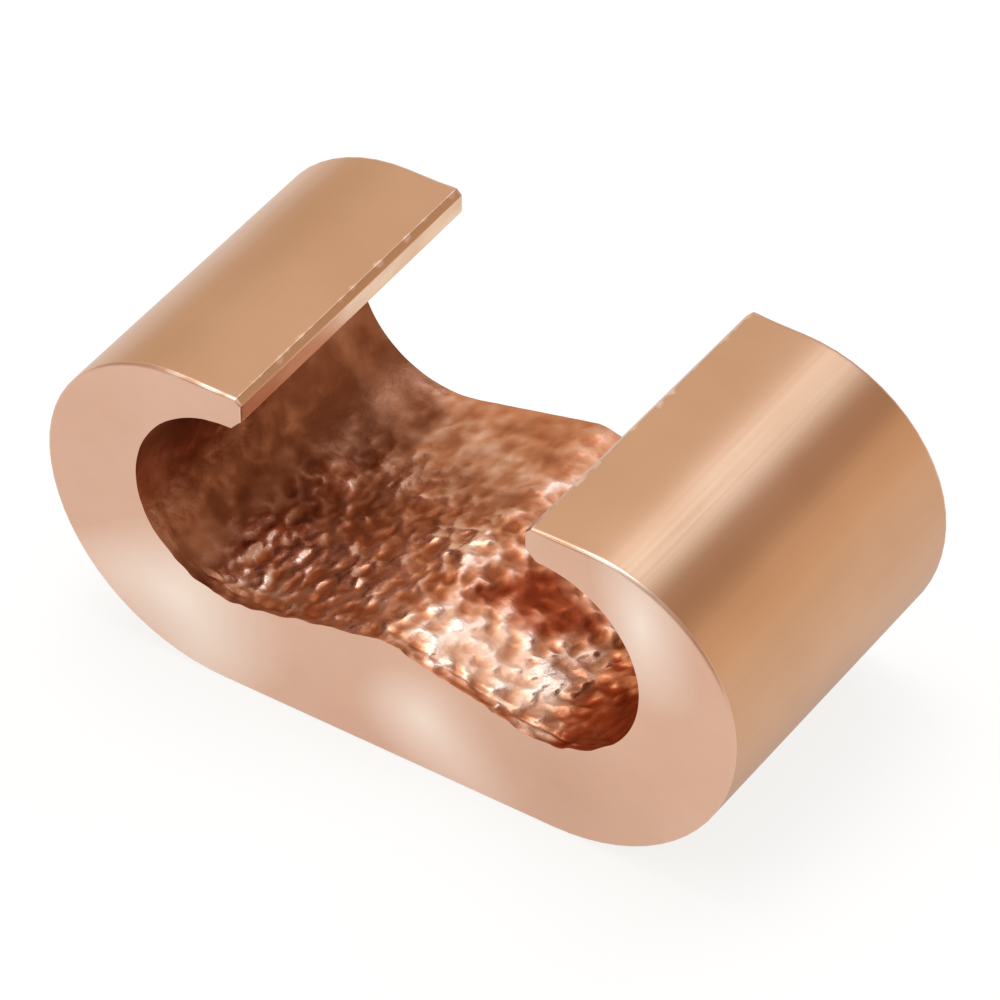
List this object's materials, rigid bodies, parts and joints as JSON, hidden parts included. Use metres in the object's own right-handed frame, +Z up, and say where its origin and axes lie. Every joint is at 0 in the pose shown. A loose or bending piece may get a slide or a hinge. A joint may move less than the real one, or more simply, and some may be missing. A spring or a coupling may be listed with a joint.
{
  "type": "c-type grounding connector",
  "caption": "Thick copper C with a round groove on each side, a low crest between them and an open mouth, pressed shut round grounding conductors to join them.",
  "frame": {"origin": "middle of the flat base", "axes": "+Z up, out of the mouth; +X across both grooves; +Y along the conductors"},
  "size_m": [0.038, 0.0184, 0.0177],
  "materials": {
    "copper": "satin outside, rough inside"
  },
  "bodies": {
    "root": {"c_body": "copper"}
  },
  "joints": []
}
